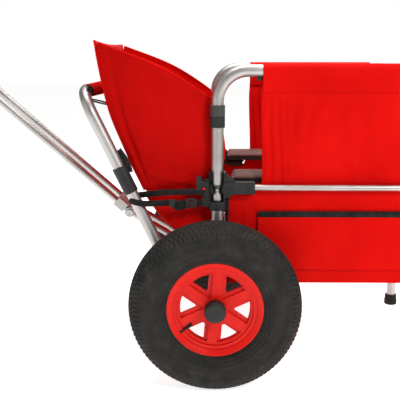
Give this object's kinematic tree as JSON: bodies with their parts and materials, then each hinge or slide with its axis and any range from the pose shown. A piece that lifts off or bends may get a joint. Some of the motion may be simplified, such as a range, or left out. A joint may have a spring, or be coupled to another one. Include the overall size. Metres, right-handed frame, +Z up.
{
  "type": "folding beach cart",
  "caption": "Two-wheeled beach cart with a red cloth tub, leaning backrest, side rails, armrests and a telescopic pull handle.",
  "frame": {"origin": "middle of the cart's box on the ground", "axes": "+X from the pull handle to the front feet, +Y to the right of a person pulling, +Z up"},
  "size_m": [1.3604, 0.758, 0.852],
  "materials": {
    "tyre_rubber": "worn matt",
    "rim_plastic": "gloss",
    "black_plastic": "satin",
    "grey_plastic": "satin",
    "red_plastic": "gloss",
    "aluminium_tube": "brushed",
    "steel": "zinc plated",
    "red_cloth": "woven",
    "dark_red_cloth": "woven",
    "black_webbing": "woven",
    "foot_rubber": "matt",
    "pad_skin": "satin",
    "grip_foam": "matt"
  },
  "bodies": {
    "frame": {"axle": "steel", "axle_tube": "aluminium_tube", "wheel_fasteners": "steel", "rear_leg_left": "aluminium_tube", "rear_leg_right": "aluminium_tube", "rear_post_left": "aluminium_tube", "rear_post_right": "aluminium_tube", "front_posts": "aluminium_tube", "feet": "foot_rubber", "joint_casting_left": "black_plastic", "joint_casting_right": "black_plastic", "front_castings": "black_plastic", "rail_sleeves": "black_plastic", "side_rods": "aluminium_tube", "lower_rails": "aluminium_tube", "cross_tubes": "aluminium_tube", "pivot_bolts": "steel", "lower_panel_left": "red_cloth", "lower_panel_right": "red_cloth", "pocket_left": "red_cloth", "pocket_right": "red_cloth", "front_panel": "red_cloth", "floor_sling": "red_cloth", "rear_bag": "red_cloth", "strap_left": "black_webbing", "strap_right": "black_webbing", "buckles": "black_plastic", "arm_brackets": "black_plastic", "drawbar_base": "aluminium_tube"},
    "backrest": {"backrest_hoop": "aluminium_tube", "backrest_panel": "red_cloth", "hoop_sleeves": "black_plastic", "crossbar_sleeve": "red_cloth", "wing_left": "dark_red_cloth", "wing_right": "dark_red_cloth"},
    "drawbar": {"drawbar": "aluminium_tube"},
    "extension": {"extension": "aluminium_tube", "hand_grip": "grip_foam"},
    "wheel_left": {"tyre_left": "tyre_rubber", "rim_left": "rim_plastic", "hub_cap_left": "black_plastic", "valve_left": "foot_rubber"},
    "rail_left": {"side_rail_left": "aluminium_tube", "rail_ferrules_left": "grey_plastic", "upper_panel_left": "red_cloth"},
    "arm_left": {"arm_base_left": "black_plastic", "arm_pad_left": "pad_skin"},
    "lever_left": {"hook_lever_left": "black_plastic"},
    "button_left": {"release_button_left": "red_plastic"},
    "wheel_right": {"tyre_right": "tyre_rubber", "rim_right": "rim_plastic", "hub_cap_right": "black_plastic", "valve_right": "foot_rubber"},
    "rail_right": {"side_rail_right": "aluminium_tube", "rail_ferrules_right": "grey_plastic", "upper_panel_right": "red_cloth"},
    "arm_right": {"arm_base_right": "black_plastic", "arm_pad_right": "pad_skin"},
    "lever_right": {"hook_lever_right": "black_plastic"},
    "button_right": {"release_button_right": "red_plastic"}
  },
  "joints": [
    {"name": "wheel_spin_left", "type": "hinge", "parent": "frame", "child": "wheel_left", "pos_m": [0.09921, -0.325, 0.2], "axis": [0, 1, 0], "continuous": true},
    {"name": "rail_lift_left", "type": "slide", "parent": "frame", "child": "rail_left", "axis": [0, 0, 1], "range_m": [0, 0.1]},
    {"name": "arm_lift_left", "type": "hinge", "parent": "frame", "child": "arm_left", "pos_m": [0.13321, -0.192, 0.462], "axis": [0, -1, 0], "range_deg": [0, 80]},
    {"name": "hook_turn_left", "type": "hinge", "parent": "frame", "child": "lever_left", "pos_m": [0.07921, -0.257, 0.473], "axis": [0, 1, 0], "range_deg": [0, 45]},
    {"name": "button_press_left", "type": "slide", "parent": "frame", "child": "button_left", "axis": [0, 1, 0], "range_m": [0, 0.003], "stiffness_N_per_m": 300, "springref_m": -0.002},
    {"name": "wheel_spin_right", "type": "hinge", "parent": "frame", "child": "wheel_right", "pos_m": [0.09921, 0.325, 0.2], "axis": [0, 1, 0], "continuous": true},
    {"name": "rail_lift_right", "type": "slide", "parent": "frame", "child": "rail_right", "axis": [0, 0, 1], "range_m": [0, 0.1]},
    {"name": "arm_lift_right", "type": "hinge", "parent": "frame", "child": "arm_right", "pos_m": [0.13321, 0.192, 0.462], "axis": [0, -1, 0], "range_deg": [0, 80]},
    {"name": "hook_turn_right", "type": "hinge", "parent": "frame", "child": "lever_right", "pos_m": [0.07921, 0.257, 0.473], "axis": [0, 1, 0], "range_deg": [0, 45]},
    {"name": "button_press_right", "type": "slide", "parent": "frame", "child": "button_right", "axis": [0, -1, 0], "range_m": [0, 0.003], "stiffness_N_per_m": 300, "springref_m": -0.002},
    {"name": "backrest_lean", "type": "hinge", "parent": "frame", "child": "backrest", "pos_m": [-0.02079, 0, 0.29], "axis": [0, 1, 0], "range_deg": [-10, 30], "deforming": ["wing_left", "wing_right", "strap_left", "strap_right"]},
    {"name": "drawbar_fold", "type": "hinge", "parent": "frame", "child": "drawbar", "pos_m": [-0.12579, 0, 0.358], "axis": [0, 1, 0], "range_deg": [-41, 28]},
    {"name": "handle_extend", "type": "slide", "parent": "drawbar", "child": "extension", "axis": [-0.7478, 0, 0.6639], "range_m": [0, 0.18]}
  ]
}
